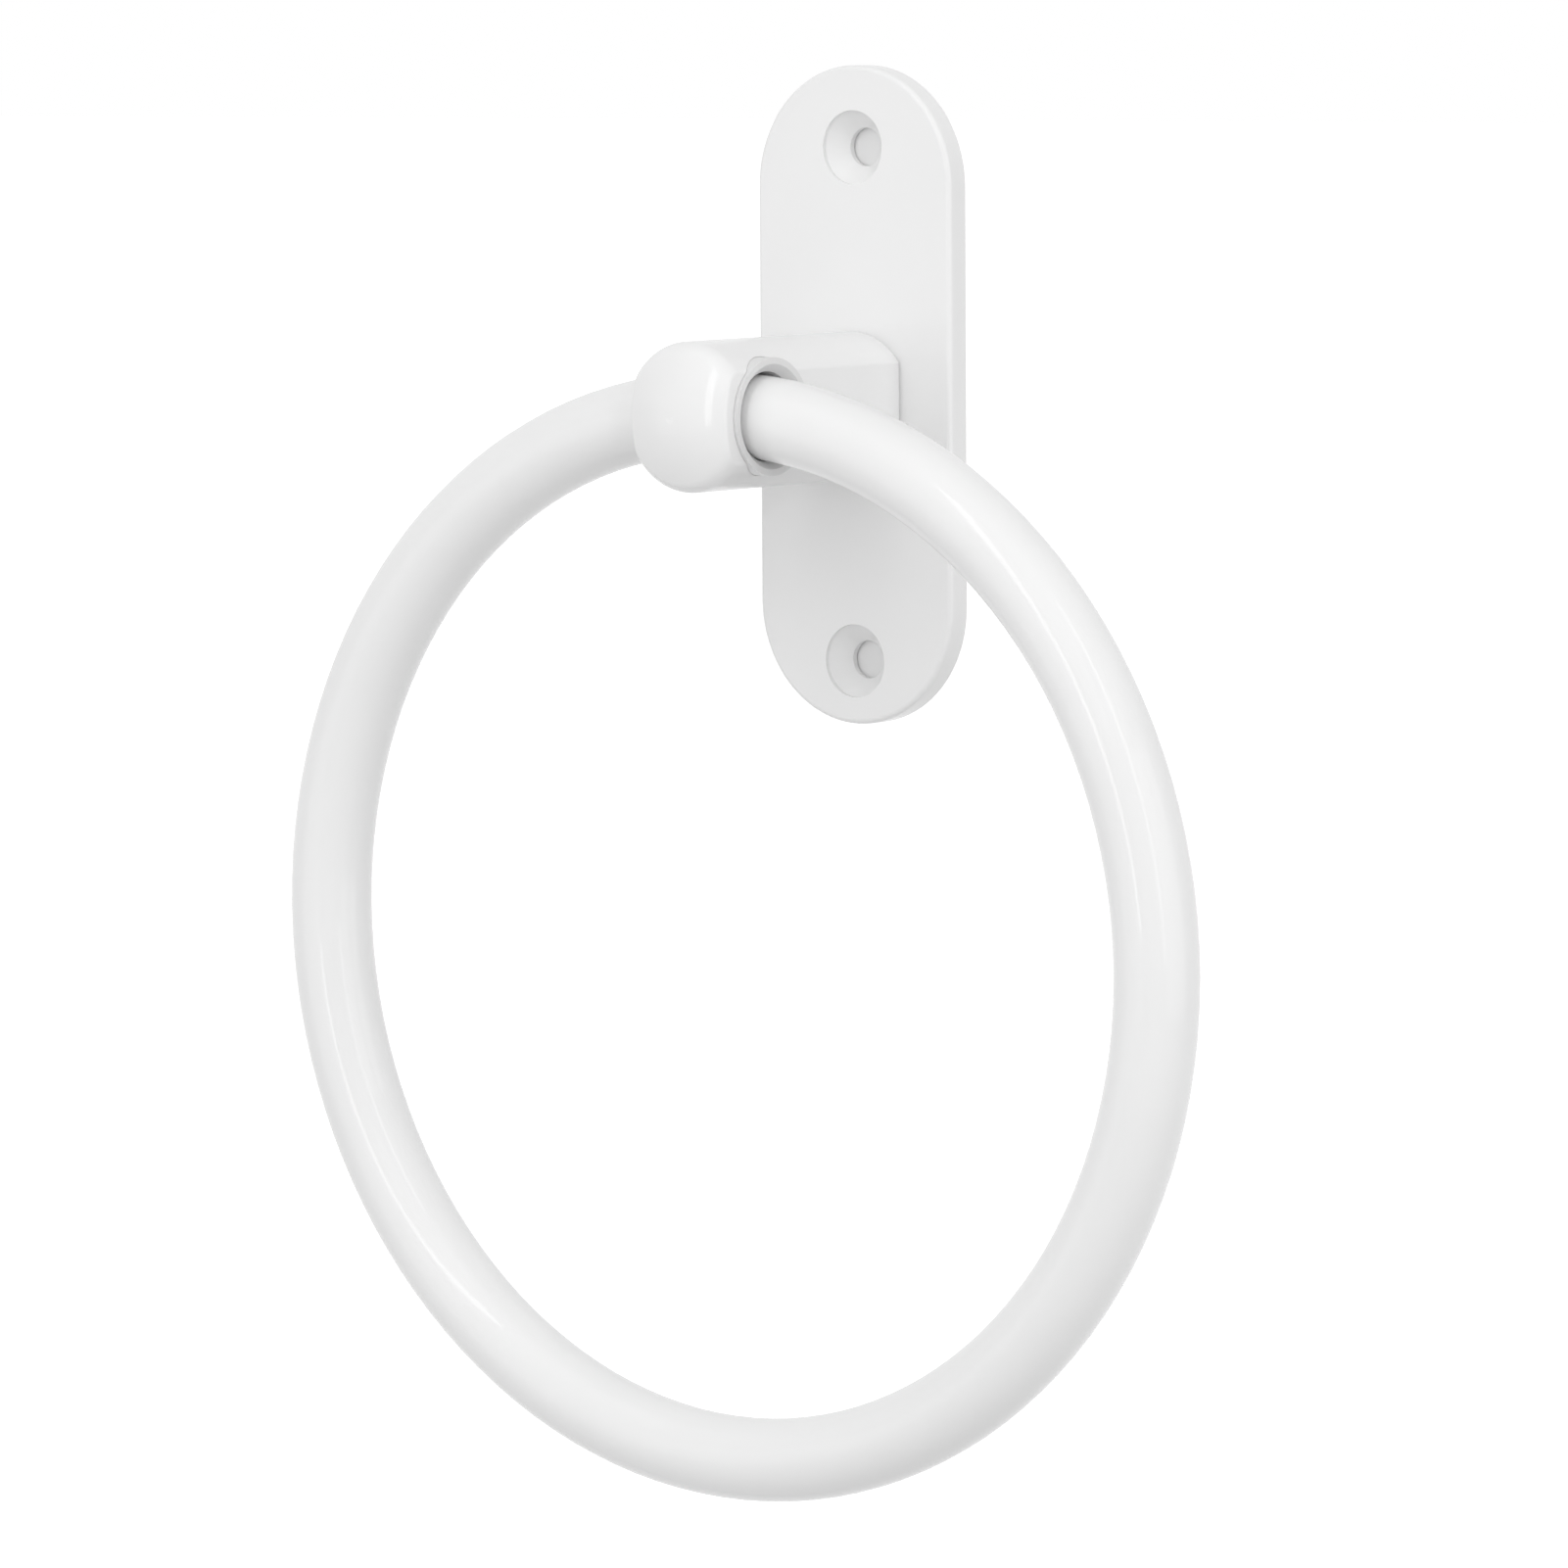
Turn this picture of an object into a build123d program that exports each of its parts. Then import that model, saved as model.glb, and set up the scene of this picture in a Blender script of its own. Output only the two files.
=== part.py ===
"""Wall-mounted towel ring: an obround plate, a short round arm, and a tube ring that hangs in a plastic sleeve.

The frame is in millimetres. +X runs to the right along the wall, +Y into the wall and +Z up.
The origin lies on the wall, halfway between the two wall screws, in line with the arm.
"""
import math
import os

from build123d import *

# Back plate
plate_width = 37.5
plate_height = 102.6
plate_thickness = 4.4
plate_rise = 1.4
plate_edge_radius = 0.8
plate_back_edge = 0.3

# Wall screw holes, countersunk for a 6 mm flat head
wall_hole_spacing = 80.0
wall_hole_radius = 3.0
wall_sink_radius = 5.75
wall_sink_angle = 90.0
wall_sink_lip = 0.7

# Ring: a round tube bent to a circle, its ends butted over a dowel inside the sleeve
ring_mean_radius = 80.6
ring_tube_radius = 6.4
ring_tube_wall = 1.5
ring_seam = 0.1
ring_rest_gap = 0.2

# Sleeve: the bearing bush across the arm
sleeve_clearance = 0.45
sleeve_wall = 2.15
sleeve_reach = 0.55
sleeve_face_width = 1.0
sleeve_mouth_depth = 1.3
sleeve_fit = 0.05

# Arm: a round bar with a flat on each side, a rounded rim and a shallow domed end
arm_wall = 2.5
arm_flat_width = 18.4
arm_length = 45.85
arm_end_wall = 4.0
dome_radius = 20.0
rim_radius = 3.0
arm_root_edge = 0.5
arm_flat_edge_radius = 0.8

# Dowel that closes the ring
dowel_length = 24.0
dowel_fit = 0.1
dowel_chamfer = 0.5

# Countersunk socket screws that hold the arm to the plate
screw_radius = 2.0
screw_head_radius = 4.0
screw_length = 16.0
screw_spacing = 11.0
screw_socket_radius = 1.45
screw_socket_depth = 1.4
screw_head_fit = 0.1
screw_fit = 0.05
screw_sink_angle = 90.0
screw_hole_spare = 1.0

# Places worked out from the sizes above
sleeve_bore_radius = ring_tube_radius + sleeve_clearance
sleeve_outer_radius = sleeve_bore_radius + sleeve_wall
arm_bore_radius = sleeve_outer_radius + sleeve_fit
arm_radius = sleeve_outer_radius + arm_wall
arm_tip_y = -plate_thickness - arm_length
sleeve_from_wall = plate_thickness + arm_length - arm_end_wall - arm_bore_radius
dome_angle = math.degrees(math.asin(arm_radius / dome_radius))
flat_x = arm_flat_width / 2
sleeve_half_length = flat_x + sleeve_reach
throat_x = sleeve_half_length - sleeve_mouth_depth

# The bent tube sags from the sleeve's middle to its throats, and there it rests a small gap above the bore
ring_sag = ring_mean_radius - math.sqrt(ring_mean_radius**2 - throat_x**2)
ring_top_z = ring_sag - (sleeve_clearance - ring_rest_gap)
ring_centre = (0, -sleeve_from_wall, ring_top_z - ring_mean_radius)
ring_axis = Axis(ring_centre, (0, 1, 0))

wall_face = Plane.XZ
plate_front = Plane.XZ.offset(plate_thickness)
sleeve_centre = (0, -sleeve_from_wall, 0)


def ring_section(distance):
    """The plane across the ring's tube, at a distance along the ring from its top towards +X."""
    angle = distance / ring_mean_radius
    x, z = ring_mean_radius * math.sin(angle), ring_mean_radius * math.cos(angle)
    origin = (ring_centre[0] + x, ring_centre[1], ring_centre[2] + z)
    return Plane(origin=origin, x_dir=(0, 1, 0), z_dir=(math.cos(angle), 0, -math.sin(angle)))


def arc_of(distance):
    """The angle in degrees that a distance along the ring's centreline takes up."""
    return math.degrees(distance / ring_mean_radius)


os.makedirs("parts", exist_ok=True)

with BuildPart() as back_plate:
    with BuildSketch(wall_face):
        with Locations((0, plate_rise)):
            SlotOverall(plate_height, plate_width, rotation=90)
    extrude(amount=plate_thickness)
    fillet(back_plate.faces().sort_by(Axis.Y)[0].edges(), plate_edge_radius)
    chamfer(back_plate.faces().sort_by(Axis.Y)[-1].edges(), plate_back_edge)
    with Locations(plate_front):
        with GridLocations(1, wall_hole_spacing, 1, 2):
            Hole(wall_sink_radius, depth=wall_sink_lip)
    with Locations(Plane.XZ.offset(plate_thickness - wall_sink_lip)):
        with GridLocations(1, wall_hole_spacing, 1, 2):
            CounterSinkHole(wall_hole_radius, wall_sink_radius, counter_sink_angle=wall_sink_angle)
    with Locations(-wall_face):
        with GridLocations(1, screw_spacing, 1, 2):
            CounterSinkHole(
                screw_radius + screw_fit,
                screw_head_radius + screw_head_fit,
                counter_sink_angle=screw_sink_angle,
            )

with BuildPart() as arm:
    with BuildSketch(Plane.XY) as arm_profile:
        with BuildLine():
            dome = JernArc((0, arm_tip_y), (1, 0), dome_radius, dome_angle)
            Polyline(dome @ 1, (arm_radius, -plate_thickness), (0, -plate_thickness), (0, arm_tip_y))
        make_face()
        fillet(arm_profile.vertices().group_by(Axis.X)[-1].sort_by(Axis.Y)[0], rim_radius)
    revolve(axis=Axis.Y)
    for side in (1, -1):
        split(bisect_by=Plane(origin=(side * flat_x, 0, 0), z_dir=(side, 0, 0)), keep=Keep.BOTTOM)
    for flat in (arm.faces().sort_by(Axis.X)[0], arm.faces().sort_by(Axis.X)[-1]):
        fillet(flat.edges().sort_by(Axis.Y)[:-1], arm_flat_edge_radius)
    chamfer(arm.faces().sort_by(Axis.Y)[-1].edges(), arm_root_edge)
    with Locations(Plane(origin=(flat_x, -sleeve_from_wall, 0), z_dir=(1, 0, 0))):
        Hole(arm_bore_radius)
    with Locations(-plate_front):
        with GridLocations(1, screw_spacing, 1, 2):
            Hole(screw_radius + screw_fit, depth=screw_length - plate_thickness + screw_hole_spare)

with BuildPart() as sleeve:
    with BuildSketch(Plane(sleeve_centre)):
        with BuildLine():
            face_edge = sleeve_outer_radius - sleeve_face_width
            Polyline(
                (-sleeve_half_length, face_edge),
                (-sleeve_half_length, sleeve_outer_radius),
                (sleeve_half_length, sleeve_outer_radius),
                (sleeve_half_length, face_edge),
                (throat_x, sleeve_bore_radius),
                (-throat_x, sleeve_bore_radius),
                close=True,
            )
        make_face()
    revolve(axis=Axis(sleeve_centre, (1, 0, 0)))

with BuildPart() as ring:
    with BuildSketch(ring_section(ring_seam / 2)):
        Circle(ring_tube_radius)
        Circle(ring_tube_radius - ring_tube_wall, mode=Mode.SUBTRACT)
    revolve(axis=ring_axis, revolution_arc=360 - arc_of(ring_seam))

with BuildPart() as ring_dowel:
    with BuildSketch(ring_section(-dowel_length / 2)):
        Circle(ring_tube_radius - ring_tube_wall - dowel_fit)
    revolve(axis=ring_axis, revolution_arc=arc_of(dowel_length))
    chamfer(ring_dowel.edges().filter_by(GeomType.CIRCLE), dowel_chamfer)

with BuildPart() as arm_screws:
    for z in (screw_spacing / 2, -screw_spacing / 2):
        with BuildSketch(Plane.XY.offset(z)):
            with BuildLine():
                Polyline(
                    (0, 0),
                    (screw_head_radius, 0),
                    (screw_radius, screw_radius - screw_head_radius),
                    (screw_radius, -screw_length),
                    (0, -screw_length),
                    close=True,
                )
            make_face()
        revolve(axis=Axis((0, 0, z), (0, 1, 0)))
    with BuildSketch(wall_face):
        with GridLocations(1, screw_spacing, 1, 2):
            RegularPolygon(screw_socket_radius, 6)
    extrude(amount=screw_socket_depth, mode=Mode.SUBTRACT)

back_plate.part.label = "back_plate"
arm.part.label = "arm"
sleeve.part.label = "sleeve"
ring.part.label = "ring"
ring_dowel.part.label = "ring_dowel"
arm_screws.part.label = "arm_screws"

export_step(back_plate.part, "parts/back_plate.step")
export_step(arm.part, "parts/arm.step")
export_step(sleeve.part, "parts/sleeve.step")
export_step(ring.part, "parts/ring.step")
export_step(ring_dowel.part, "parts/ring_dowel.step")
export_step(arm_screws.part, "parts/arm_screws.step")
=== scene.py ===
"""Finishes the wall-mounted towel ring, and sets it in soft studio light at the photograph's angle."""
import math

import bpy
from bpy.props import FloatProperty, FloatVectorProperty, PointerProperty
from mathutils import Euler, Matrix, Vector


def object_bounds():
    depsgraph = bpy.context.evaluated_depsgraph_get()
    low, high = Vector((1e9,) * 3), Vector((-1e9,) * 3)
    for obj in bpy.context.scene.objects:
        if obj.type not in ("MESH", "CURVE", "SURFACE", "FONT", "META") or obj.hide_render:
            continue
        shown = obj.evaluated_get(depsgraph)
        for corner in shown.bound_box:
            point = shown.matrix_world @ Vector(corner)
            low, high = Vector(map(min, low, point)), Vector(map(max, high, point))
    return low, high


bl_info = {
    "name": "Towel Ring Finishes",
    "version": (1, 0, 0),
    "blender": (4, 5, 0),
    "location": "3D View > Sidebar > Towel Ring",
    "description": "Coats the towel ring, moulds its sleeve, plates its screws and lights it",
    "category": "Object",
}

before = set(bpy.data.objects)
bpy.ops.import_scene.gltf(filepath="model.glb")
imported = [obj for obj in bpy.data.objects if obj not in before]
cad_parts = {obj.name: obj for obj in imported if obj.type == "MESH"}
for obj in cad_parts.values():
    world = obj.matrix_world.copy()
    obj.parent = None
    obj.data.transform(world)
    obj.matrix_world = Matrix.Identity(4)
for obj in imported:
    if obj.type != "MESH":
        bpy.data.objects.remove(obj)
cad_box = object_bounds()

MM = 0.001
WHITE = (1.0, 1.0, 1.0, 1.0)
FULL_WHITE = 1.0

# The arm's screws and the wall screw holes lie this far above and below the arm's axis
SCREW_OFFSET = 5.5 * MM
HOLE_OFFSET = 40 * MM

# The spots of wall behind the holes: wider than the hole, and just clear of the plate's back
SPOT_RADIUS = 4.5 * MM
SPOT_CORNERS = 32
WALL_GAP = 0.2 * MM

# Each pattern's finer waves, how many and how strong, and then how strongly its height shows
PEEL_NOISE = {"Detail": 2.0, "Roughness": 0.45}
DRIFT_NOISE = {"Detail": 3.0, "Roughness": 0.5}
GRAIN_NOISE = {"Detail": 4.0, "Roughness": 0.6}
PEEL_STRENGTH = 0.5
GRAIN_STRENGTH = 0.4
TURNING_STRENGTH = 0.3

# The smoothest and the dullest places of a finish, counted from its mean roughness
COATING_SPREAD = (-0.03, 0.05)
PLASTIC_SPREAD = (-0.05, 0.07)

# Nearly all of the coat's shine is in its clear hard skin, over a satin body
COATING_GLOSS = {
    "IOR": 1.5,
    "Specular IOR Level": 0.1,
    "Coat Weight": 0.45,
    "Coat Roughness": 0.06,
    "Coat IOR": 1.5,
}
PLASTIC_GLOW = {"IOR": 1.48, "Subsurface Weight": 0.2, "Subsurface Radius": (1.0, 0.95, 0.9)}

# The coat's pattern is moved by these metres, so that no two pieces carry the same waves
PLATE_SHIFT = 0.0
ARM_SHIFT = 0.3
RING_SHIFT = 0.7


def linear(code):
    """A hex colour as it is seen on a screen, turned by the sRGB curve to the linear values of a shader."""
    channels = [int(code[i : i + 2], 16) / 255 for i in (1, 3, 5)]
    return [c / 12.92 if c <= 0.04045 else ((c + 0.055) / 1.055) ** 2.4 for c in channels]


def opaque(colour):
    """A colour setting with full alpha, for a shader socket."""
    return (*colour, 1.0)


def add_node(tree, kind, values=None, links=None, **settings):
    """Adds a node, sets its properties and its sockets' values, and links its sockets to other outputs."""
    node = tree.nodes.new(kind)
    for name, value in settings.items():
        setattr(node, name, value)
    for name, value in (values or {}).items():
        node.inputs[name].default_value = value
    for name, output in (links or {}).items():
        tree.links.new(output, node.inputs[name])
    return node


def seen_plainly(tree):
    """1 for a ray from the camera and for one that gloss or glass passes on, and 0 for all other light."""
    path = add_node(tree, "ShaderNodeLightPath")
    either = add_node(
        tree,
        "ShaderNodeMath",
        operation="MAXIMUM",
        links={0: path.outputs["Is Camera Ray"], 1: path.outputs["Is Glossy Ray"]},
    )
    seen = add_node(
        tree,
        "ShaderNodeMath",
        operation="MAXIMUM",
        links={0: either.outputs["Value"], 1: path.outputs["Is Transmission Ray"]},
    )
    return seen.outputs["Value"]


def new_material(name):
    """An empty material with its output node, ready for a surface."""
    material = bpy.data.materials.new(name)
    material.use_nodes = True
    material.node_tree.nodes.clear()
    output = add_node(material.node_tree, "ShaderNodeOutputMaterial")
    return material, material.node_tree, output


def finish_node(node_name, material):
    """Puts a material on every slot of a CAD node."""
    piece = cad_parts[node_name]
    if not piece.data.materials:
        piece.data.materials.append(material)
    for slot in piece.material_slots:
        slot.material = material


def powder_coat(name, coating, pattern_shift):
    """Gloss powder coat on steel.

    It is sprayed on dry and baked, so it flows out to a faint orange peel with a hard shine, and its
    white drifts a little where the coat lies thinner.
    """
    material, tree, output = new_material(name)
    place = add_node(tree, "ShaderNodeTexCoord")
    moved = add_node(
        tree,
        "ShaderNodeMapping",
        values={"Location": (pattern_shift, pattern_shift, 0.0)},
        links={"Vector": place.outputs["Object"]},
    )
    peel = add_node(
        tree,
        "ShaderNodeTexNoise",
        values={"Scale": 1 / coating.peel_size, **PEEL_NOISE},
        links={"Vector": moved.outputs["Vector"]},
    )
    drift = add_node(
        tree,
        "ShaderNodeTexNoise",
        values={"Scale": 1 / coating.drift_size, **DRIFT_NOISE},
        links={"Vector": moved.outputs["Vector"]},
    )
    tone = add_node(
        tree,
        "ShaderNodeMix",
        data_type="RGBA",
        values={"A": opaque(coating.colour), "B": opaque(coating.thin_colour)},
        links={"Factor": drift.outputs["Fac"]},
    )
    smoothest, dullest = [coating.roughness + change for change in COATING_SPREAD]
    shine = add_node(
        tree,
        "ShaderNodeMapRange",
        values={"To Min": smoothest, "To Max": dullest},
        links={"Value": drift.outputs["Fac"]},
    )
    bump = add_node(
        tree,
        "ShaderNodeBump",
        values={"Strength": PEEL_STRENGTH, "Distance": coating.peel_depth},
        links={"Height": peel.outputs["Fac"]},
    )
    surface = add_node(
        tree,
        "ShaderNodeBsdfPrincipled",
        values=COATING_GLOSS,
        links={
            "Base Color": tone.outputs["Result"],
            "Roughness": shine.outputs["Result"],
            "Normal": bump.outputs["Normal"],
        },
    )
    tree.links.new(surface.outputs["BSDF"], output.inputs["Surface"])
    return material


def moulded_plastic(name, plastic):
    """Injection-moulded acetal.

    It is slightly waxy and a little duller than the coating, with the mould's fine satin grain.
    """
    material, tree, output = new_material(name)
    place = add_node(tree, "ShaderNodeTexCoord")
    grain = add_node(
        tree,
        "ShaderNodeTexNoise",
        values={"Scale": 1 / plastic.grain_size, **GRAIN_NOISE},
        links={"Vector": place.outputs["Object"]},
    )
    smoothest, dullest = [plastic.roughness + change for change in PLASTIC_SPREAD]
    shine = add_node(
        tree,
        "ShaderNodeMapRange",
        values={"To Min": smoothest, "To Max": dullest},
        links={"Value": grain.outputs["Fac"]},
    )
    bump = add_node(
        tree,
        "ShaderNodeBump",
        values={"Strength": GRAIN_STRENGTH, "Distance": plastic.grain_depth},
        links={"Height": grain.outputs["Fac"]},
    )
    surface = add_node(
        tree,
        "ShaderNodeBsdfPrincipled",
        values={
            "Base Color": opaque(plastic.colour),
            "Subsurface Scale": plastic.glow_depth,
            **PLASTIC_GLOW,
        },
        links={"Roughness": shine.outputs["Result"], "Normal": bump.outputs["Normal"]},
    )
    tree.links.new(surface.outputs["BSDF"], output.inputs["Surface"])
    return material


def plated_steel(name, steel):
    """Zinc-plated turned steel.

    It is a cool bright metal with fine rings from the lathe round each screw's axis.
    """
    material, tree, output = new_material(name)
    place = add_node(tree, "ShaderNodeTexCoord")
    split = add_node(tree, "ShaderNodeSeparateXYZ", links={"Vector": place.outputs["Object"]})
    height = add_node(tree, "ShaderNodeMath", operation="ABSOLUTE", links={0: split.outputs["Z"]})
    above_axis = add_node(
        tree,
        "ShaderNodeMath",
        operation="SUBTRACT",
        values={1: SCREW_OFFSET},
        links={0: height.outputs["Value"]},
    )
    across = add_node(
        tree,
        "ShaderNodeCombineXYZ",
        links={"X": split.outputs["X"], "Z": above_axis.outputs["Value"]},
    )
    radius = add_node(
        tree,
        "ShaderNodeVectorMath",
        operation="LENGTH",
        links={0: across.outputs["Vector"]},
    )
    turn = add_node(
        tree,
        "ShaderNodeMath",
        operation="MULTIPLY",
        values={1: math.tau / steel.turning_pitch},
        links={0: radius.outputs["Value"]},
    )
    rings = add_node(tree, "ShaderNodeMath", operation="SINE", links={0: turn.outputs["Value"]})
    bump = add_node(
        tree,
        "ShaderNodeBump",
        values={"Strength": TURNING_STRENGTH, "Distance": steel.turning_depth},
        links={"Height": rings.outputs["Value"]},
    )
    surface = add_node(
        tree,
        "ShaderNodeBsdfPrincipled",
        values={"Base Color": opaque(steel.colour), "Metallic": 1.0, "Roughness": steel.roughness},
        links={"Normal": bump.outputs["Normal"]},
    )
    tree.links.new(surface.outputs["BSDF"], output.inputs["Surface"])
    return material


class CoatingSettings(bpy.types.PropertyGroup):
    """The gloss powder coat on the plate, the arm and the ring."""

    colour: FloatVectorProperty(
        name="Colour",
        description="Colour of the coat",
        subtype="COLOR",
        default=linear("#EEEEEE"),
        min=0,
        max=1,
    )
    thin_colour: FloatVectorProperty(
        name="Thin Colour",
        description="Colour where the coat lies a little thinner",
        subtype="COLOR",
        default=linear("#E9E9E9"),
        min=0,
        max=1,
    )
    roughness: FloatProperty(
        name="Roughness",
        description="Mean roughness under the clear skin",
        default=0.3,
        min=0.03,
        max=1,
    )
    peel_size: FloatProperty(
        name="Orange Peel",
        description="Width of one wave of the orange peel",
        default=2.5 * MM,
        unit="LENGTH",
    )
    peel_depth: FloatProperty(
        name="Peel Depth",
        description="Height of the orange peel's waves",
        default=0.012 * MM,
        unit="LENGTH",
    )
    drift_size: FloatProperty(
        name="Thickness Drift",
        description="Distance over which the coat's thickness drifts",
        default=30 * MM,
        unit="LENGTH",
    )


class PlasticSettings(bpy.types.PropertyGroup):
    """The moulded plastic of the sleeve."""

    colour: FloatVectorProperty(
        name="Colour",
        description="Colour of the plastic",
        subtype="COLOR",
        default=linear("#DDDDDD"),
        min=0,
        max=1,
    )
    roughness: FloatProperty(
        name="Roughness",
        description="Mean roughness of the plastic",
        default=0.42,
        min=0.1,
        max=1,
    )
    # Drawn coarser than the real grain, which would be too fine to show in the render
    grain_size: FloatProperty(
        name="Grain",
        description="Width of the mould's grain",
        default=0.35 * MM,
        unit="LENGTH",
    )
    grain_depth: FloatProperty(
        name="Grain Depth",
        description="Depth of the mould's grain",
        default=0.006 * MM,
        unit="LENGTH",
    )
    glow_depth: FloatProperty(
        name="Glow Depth",
        description="How far light spreads inside the plastic",
        default=0.5 * MM,
        unit="LENGTH",
    )


class SteelSettings(bpy.types.PropertyGroup):
    """The zinc-plated steel of the screws and the dowel."""

    colour: FloatVectorProperty(
        name="Colour",
        description="Colour of the plating",
        subtype="COLOR",
        default=linear("#C4C8CC"),
        min=0,
        max=1,
    )
    roughness: FloatProperty(
        name="Roughness",
        description="Roughness of the plating",
        default=0.3,
        min=0.05,
        max=1,
    )
    # Drawn coarser than real turning marks, which would be too fine to show in the render
    turning_pitch: FloatProperty(
        name="Turning Pitch",
        description="Distance between two turning marks",
        default=0.25 * MM,
        unit="LENGTH",
    )
    turning_depth: FloatProperty(
        name="Turning Depth",
        description="Depth of the turning marks",
        default=0.004 * MM,
        unit="LENGTH",
    )


class StageSettings(bpy.types.PropertyGroup):
    """The floor, the wall in the holes, the lamps and the camera.

    A lamp's place is counted from the middle of the towel ring.
    """

    floor_drop: FloatProperty(
        name="Floor Drop",
        description="Distance from the ring's lowest point down to the floor",
        default=0.16,
        unit="LENGTH",
    )
    floor_size: FloatProperty(
        name="Floor Size",
        description="Width of the floor",
        default=40.0,
        unit="LENGTH",
    )
    floor_colour: FloatVectorProperty(
        name="Floor Colour",
        description="Colour of the floor's paper",
        subtype="COLOR",
        default=linear("#CECECE"),
    )
    floor_lift: FloatProperty(
        name="Floor White",
        description="White added to the floor where the camera or a reflection sees it",
        default=0.75,
    )
    wall_colour: FloatVectorProperty(
        name="Wall Colour",
        description="Colour of the wall in the screw holes",
        subtype="COLOR",
        default=linear("#E7E7E7"),
    )
    key_power: FloatProperty(
        name="Key Light",
        description="Power of the light above",
        default=2.7,
        unit="POWER",
    )
    key_place: FloatVectorProperty(
        name="Key Place",
        description="Place of the light above",
        subtype="XYZ",
        unit="LENGTH",
        default=(0.0, -0.75, 0.9),
    )
    key_size: FloatVectorProperty(
        name="Key Size",
        description="Width and height of the light above",
        size=2,
        unit="LENGTH",
        default=(1.5, 1.2),
    )
    fill_power: FloatProperty(
        name="Right Fill",
        description="Power of the soft light on the right",
        default=3.5,
        unit="POWER",
    )
    fill_place: FloatVectorProperty(
        name="Right Fill Place",
        description="Place of the soft light on the right",
        subtype="XYZ",
        unit="LENGTH",
        default=(1.1, 0.0, 0.1),
    )
    fill_size: FloatVectorProperty(
        name="Right Fill Size",
        description="Width and height of the soft light on the right",
        size=2,
        unit="LENGTH",
        default=(1.0, 1.0),
    )
    front_power: FloatProperty(
        name="Front Fill",
        description="Power of the soft light in front",
        default=3.1,
        unit="POWER",
    )
    front_place: FloatVectorProperty(
        name="Front Fill Place",
        description="Place of the soft light in front",
        subtype="XYZ",
        unit="LENGTH",
        default=(-0.55, -1.1, -0.15),
    )
    front_size: FloatVectorProperty(
        name="Front Fill Size",
        description="Width and height of the soft light in front",
        size=2,
        unit="LENGTH",
        default=(1.2, 1.2),
    )
    right_strip_power: FloatProperty(
        name="Right Strip",
        description="Power of the tall strip on the right",
        default=1.15,
        unit="POWER",
    )
    right_strip_place: FloatVectorProperty(
        name="Right Strip Place",
        description="Place of the tall strip on the right",
        subtype="XYZ",
        unit="LENGTH",
        default=(0.79, -0.475, 0.4),
    )
    front_strip_power: FloatProperty(
        name="Front Strip",
        description="Power of the tall strip in front",
        default=1.7,
        unit="POWER",
    )
    front_strip_place: FloatVectorProperty(
        name="Front Strip Place",
        description="Place of the tall strip in front",
        subtype="XYZ",
        unit="LENGTH",
        default=(0.01, -0.95, 0.4),
    )
    strip_size: FloatVectorProperty(
        name="Strip Size",
        description="Width and height of a tall strip",
        size=2,
        unit="LENGTH",
        default=(0.12, 1.1),
    )
    sky: FloatProperty(
        name="Room Light",
        description="Strength of the even light from all round",
        default=0.62,
    )
    lens: FloatProperty(
        name="Lens",
        description="Focal length in mm",
        default=170.95,
        min=20,
    )
    camera_place: FloatVectorProperty(
        name="Camera",
        description="Place of the camera",
        subtype="XYZ",
        unit="LENGTH",
        default=(0.70489, -0.92495, 0.06123),
    )
    camera_turn: FloatProperty(
        name="Camera Turn",
        description="Turn to the left of the wall's normal",
        subtype="ANGLE",
        default=math.radians(37.997),
    )
    camera_dip: FloatProperty(
        name="Camera Dip",
        description="Downward slope of the view",
        subtype="ANGLE",
        default=math.radians(5.933),
    )
    camera_roll: FloatProperty(
        name="Camera Roll",
        description="Roll about the view",
        subtype="ANGLE",
        default=math.radians(-0.366),
    )


def look_at(origin, target):
    """The matrix of a lamp at origin that shines at target."""
    direction = Vector(target) - Vector(origin)
    turn = direction.to_track_quat("-Z", "Y").to_matrix().to_4x4()
    return Matrix.Translation(origin) @ turn


def add_lamp(name, place, size, power):
    """Hangs a soft rectangular lamp that shines at the middle of the towel ring."""
    middle = (Vector(cad_box[0]) + Vector(cad_box[1])) / 2
    lamp = bpy.data.lights.new(name, "AREA")
    lamp.shape = "RECTANGLE"
    lamp.size, lamp.size_y = size
    lamp.energy = power
    piece = bpy.data.objects.new(name, lamp)
    piece.matrix_world = look_at(middle + Vector(place), middle)
    bpy.context.scene.collection.objects.link(piece)


def add_face(name, corners, material):
    """Adds one flat face with a material of its own."""
    mesh = bpy.data.meshes.new(name)
    mesh.from_pydata(corners, [], [range(len(corners))])
    mesh.materials.append(material)
    face = bpy.data.objects.new(name, mesh)
    bpy.context.scene.collection.objects.link(face)
    return face


class TOWELRING_OT_coat_plate(bpy.types.Operator):
    """Powder coats the back plate"""

    bl_idname = "towelring.coat_plate"
    bl_label = "Coat Back Plate"

    def execute(self, context):
        coating = context.scene.towel_ring_coating
        finish_node("back_plate", powder_coat("plate_powder_coat", coating, PLATE_SHIFT))
        return {"FINISHED"}


class TOWELRING_OT_coat_arm(bpy.types.Operator):
    """Powder coats the arm"""

    bl_idname = "towelring.coat_arm"
    bl_label = "Coat Arm"

    def execute(self, context):
        coating = context.scene.towel_ring_coating
        finish_node("arm", powder_coat("arm_powder_coat", coating, ARM_SHIFT))
        return {"FINISHED"}


class TOWELRING_OT_coat_ring(bpy.types.Operator):
    """Powder coats the ring"""

    bl_idname = "towelring.coat_ring"
    bl_label = "Coat Ring"

    def execute(self, context):
        coating = context.scene.towel_ring_coating
        finish_node("ring", powder_coat("ring_powder_coat", coating, RING_SHIFT))
        return {"FINISHED"}


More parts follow.
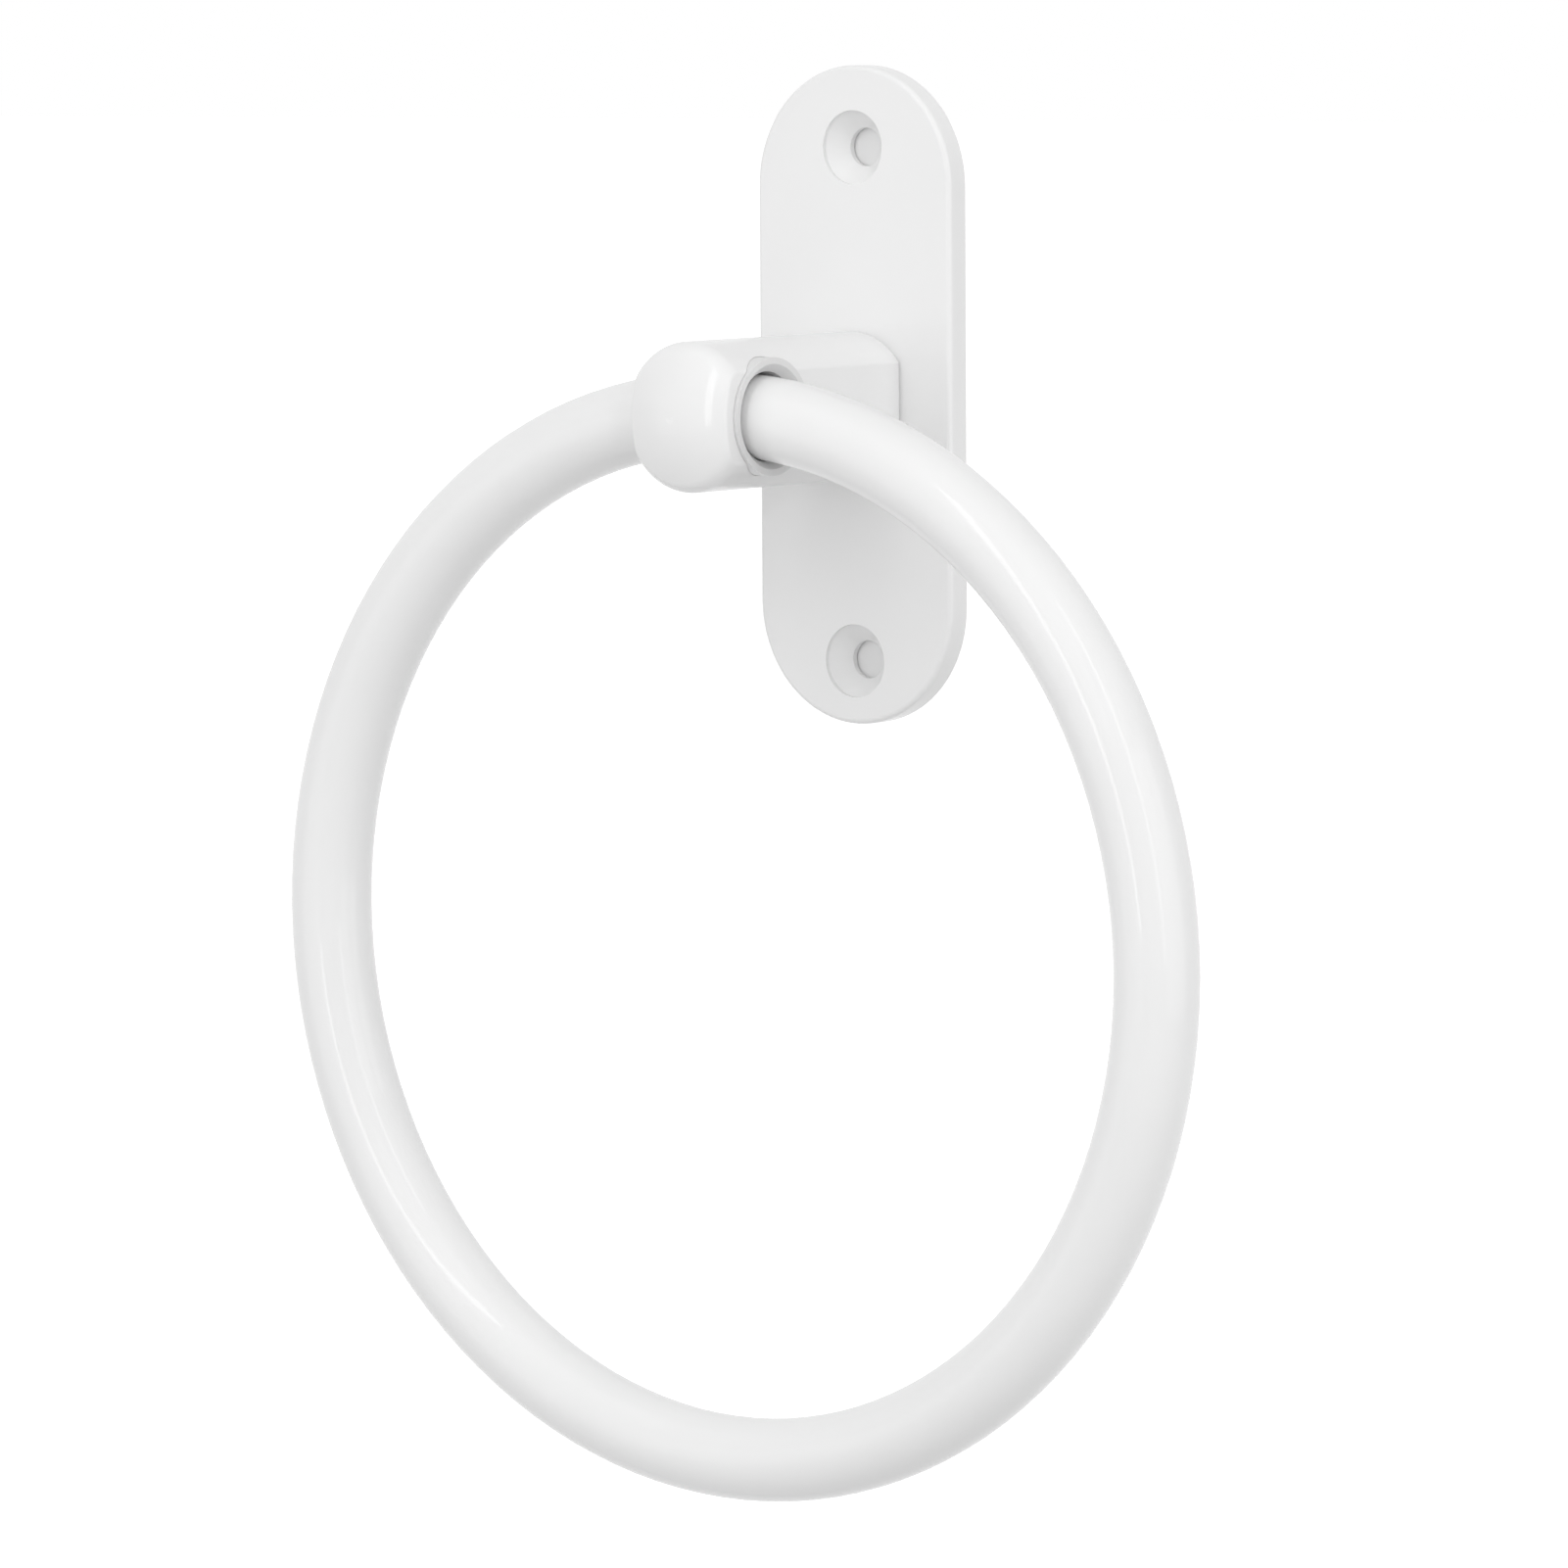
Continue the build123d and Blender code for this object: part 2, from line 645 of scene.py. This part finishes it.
class TOWELRING_OT_mould_sleeve(bpy.types.Operator):
    """Gives the sleeve its moulded plastic"""

    bl_idname = "towelring.mould_sleeve"
    bl_label = "Mould Sleeve"

    def execute(self, context):
        finish_node("sleeve", moulded_plastic("sleeve_acetal", context.scene.towel_ring_plastic))
        return {"FINISHED"}


class TOWELRING_OT_plate_fasteners(bpy.types.Operator):
    """Plates the arm's screws and the ring's dowel"""

    bl_idname = "towelring.plate_fasteners"
    bl_label = "Plate Fasteners"

    def execute(self, context):
        material = plated_steel("zinc_plated_steel", context.scene.towel_ring_steel)
        finish_node("arm_screws", material)
        finish_node("ring_dowel", material)
        return {"FINISHED"}


class TOWELRING_OT_set_stage(bpy.types.Operator):
    """Sets the floor, the white surroundings, the lamps and the camera"""

    bl_idname = "towelring.set_stage"
    bl_label = "Set Stage"

    def execute(self, context):
        stage = context.scene.towel_ring_stage
        self.lay_floor(stage)
        self.set_wall(stage)
        self.light_room(stage)
        self.hang_lamps(stage)
        self.place_camera(stage)
        context.scene.view_settings.view_transform = "Standard"
        return {"FINISHED"}

    def lay_floor(self, stage):
        """Lays a pale matt floor that keeps the shadow and is otherwise as white as the background."""
        material, tree, output = new_material("matt_white_paper")
        paper = add_node(
            tree,
            "ShaderNodeBsdfDiffuse",
            values={"Color": opaque(stage.floor_colour)},
        )
        lift = add_node(
            tree,
            "ShaderNodeMath",
            operation="MULTIPLY",
            values={1: stage.floor_lift},
            links={0: seen_plainly(tree)},
        )
        white = add_node(
            tree,
            "ShaderNodeEmission",
            values={"Color": WHITE},
            links={"Strength": lift.outputs["Value"]},
        )
        both = add_node(
            tree,
            "ShaderNodeAddShader",
            links={0: paper.outputs["BSDF"], 1: white.outputs["Emission"]},
        )
        tree.links.new(both.outputs["Shader"], output.inputs["Surface"])
        half = stage.floor_size / 2
        height = cad_box[0][2] - stage.floor_drop
        corners = [(x * half, y * half, height) for x, y in ((-1, -1), (1, -1), (1, 1), (-1, 1))]
        floor = add_face("floor", corners, material)

    def set_wall(self, stage):
        """Sets the two spots of wall that show through the screw holes, painted on their front alone."""
        material, tree, output = new_material("matt_wall_paint")
        paint = add_node(
            tree,
            "ShaderNodeBsdfDiffuse",
            values={"Color": opaque(stage.wall_colour)},
        )
        clear = add_node(tree, "ShaderNodeBsdfTransparent")
        side = add_node(tree, "ShaderNodeNewGeometry")
        mix = add_node(
            tree,
            "ShaderNodeMixShader",
            links={"Fac": side.outputs["Backfacing"], 1: paint.outputs["BSDF"], 2: clear.outputs["BSDF"]},
        )
        tree.links.new(mix.outputs["Shader"], output.inputs["Surface"])
        turns = [math.tau * i / SPOT_CORNERS for i in range(SPOT_CORNERS)]
        rim = [(SPOT_RADIUS * math.cos(turn), SPOT_RADIUS * math.sin(turn)) for turn in turns]
        for name, height in (("wall_above", HOLE_OFFSET), ("wall_below", -HOLE_OFFSET)):
            spot = add_face(name, [(x, WALL_GAP, height + z) for x, z in rim], material)

    def light_room(self, stage):
        """Lights the object evenly, with plain white wherever the camera or a reflection looks past it."""
        world = bpy.data.worlds.new("white_room")
        bpy.context.scene.world = world
        world.use_nodes = True
        tree = world.node_tree
        tree.nodes.clear()
        room = add_node(tree, "ShaderNodeBackground", values={"Color": WHITE, "Strength": stage.sky})
        white = add_node(tree, "ShaderNodeBackground", values={"Color": WHITE, "Strength": FULL_WHITE})
        mix = add_node(
            tree,
            "ShaderNodeMixShader",
            links={
                "Fac": seen_plainly(tree),
                1: room.outputs["Background"],
                2: white.outputs["Background"],
            },
        )
        output = add_node(tree, "ShaderNodeOutputWorld")
        tree.links.new(mix.outputs["Shader"], output.inputs["Surface"])

    def hang_lamps(self, stage):
        """Hangs a wide light above, soft fills at the right and front, and two strips for the streaks."""
        add_lamp("key_light", stage.key_place, stage.key_size, stage.key_power)
        add_lamp("right_fill", stage.fill_place, stage.fill_size, stage.fill_power)
        add_lamp("front_fill", stage.front_place, stage.front_size, stage.front_power)
        add_lamp("right_strip", stage.right_strip_place, stage.strip_size, stage.right_strip_power)
        add_lamp("front_strip", stage.front_strip_place, stage.strip_size, stage.front_strip_power)

    def place_camera(self, stage):
        """Places a long lens in front, a little above and well to the right."""
        camera = bpy.data.cameras.new("camera")
        camera.lens = stage.lens
        camera.clip_end = stage.floor_size
        eye = bpy.data.objects.new("camera", camera)
        level = math.radians(90)
        turn = Euler((level - stage.camera_dip, 0.0, stage.camera_turn)).to_matrix().to_4x4()
        roll = Matrix.Rotation(stage.camera_roll, 4, "Z")
        eye.matrix_world = Matrix.Translation(stage.camera_place) @ turn @ roll
        bpy.context.scene.collection.objects.link(eye)
        bpy.context.scene.camera = eye


class TOWELRING_PT_sidebar(bpy.types.Panel):
    """Lists the steps that finish and light the towel ring"""

    bl_idname = "TOWELRING_PT_sidebar"
    bl_label = "Towel Ring"
    bl_space_type = "VIEW_3D"
    bl_region_type = "UI"
    bl_category = "Towel Ring"

    def draw(self, context):
        for step in STEPS:
            self.layout.operator(step.bl_idname)


STEPS = (
    TOWELRING_OT_coat_plate,
    TOWELRING_OT_coat_arm,
    TOWELRING_OT_coat_ring,
    TOWELRING_OT_mould_sleeve,
    TOWELRING_OT_plate_fasteners,
    TOWELRING_OT_set_stage,
)
SETTINGS = {
    "towel_ring_coating": CoatingSettings,
    "towel_ring_plastic": PlasticSettings,
    "towel_ring_steel": SteelSettings,
    "towel_ring_stage": StageSettings,
}


def register():
    for name, group in SETTINGS.items():
        bpy.utils.register_class(group)
        setattr(bpy.types.Scene, name, PointerProperty(type=group))
    for step in STEPS:
        bpy.utils.register_class(step)
    bpy.utils.register_class(TOWELRING_PT_sidebar)


def unregister():
    bpy.utils.unregister_class(TOWELRING_PT_sidebar)
    for step in reversed(STEPS):
        bpy.utils.unregister_class(step)
    for name, group in SETTINGS.items():
        delattr(bpy.types.Scene, name)
        bpy.utils.unregister_class(group)


def main():
    register()
    bpy.ops.towelring.coat_plate()
    bpy.ops.towelring.coat_arm()
    bpy.ops.towelring.coat_ring()
    bpy.ops.towelring.mould_sleeve()
    bpy.ops.towelring.plate_fasteners()
    bpy.ops.towelring.set_stage()


if __name__ == "__main__":
    main()
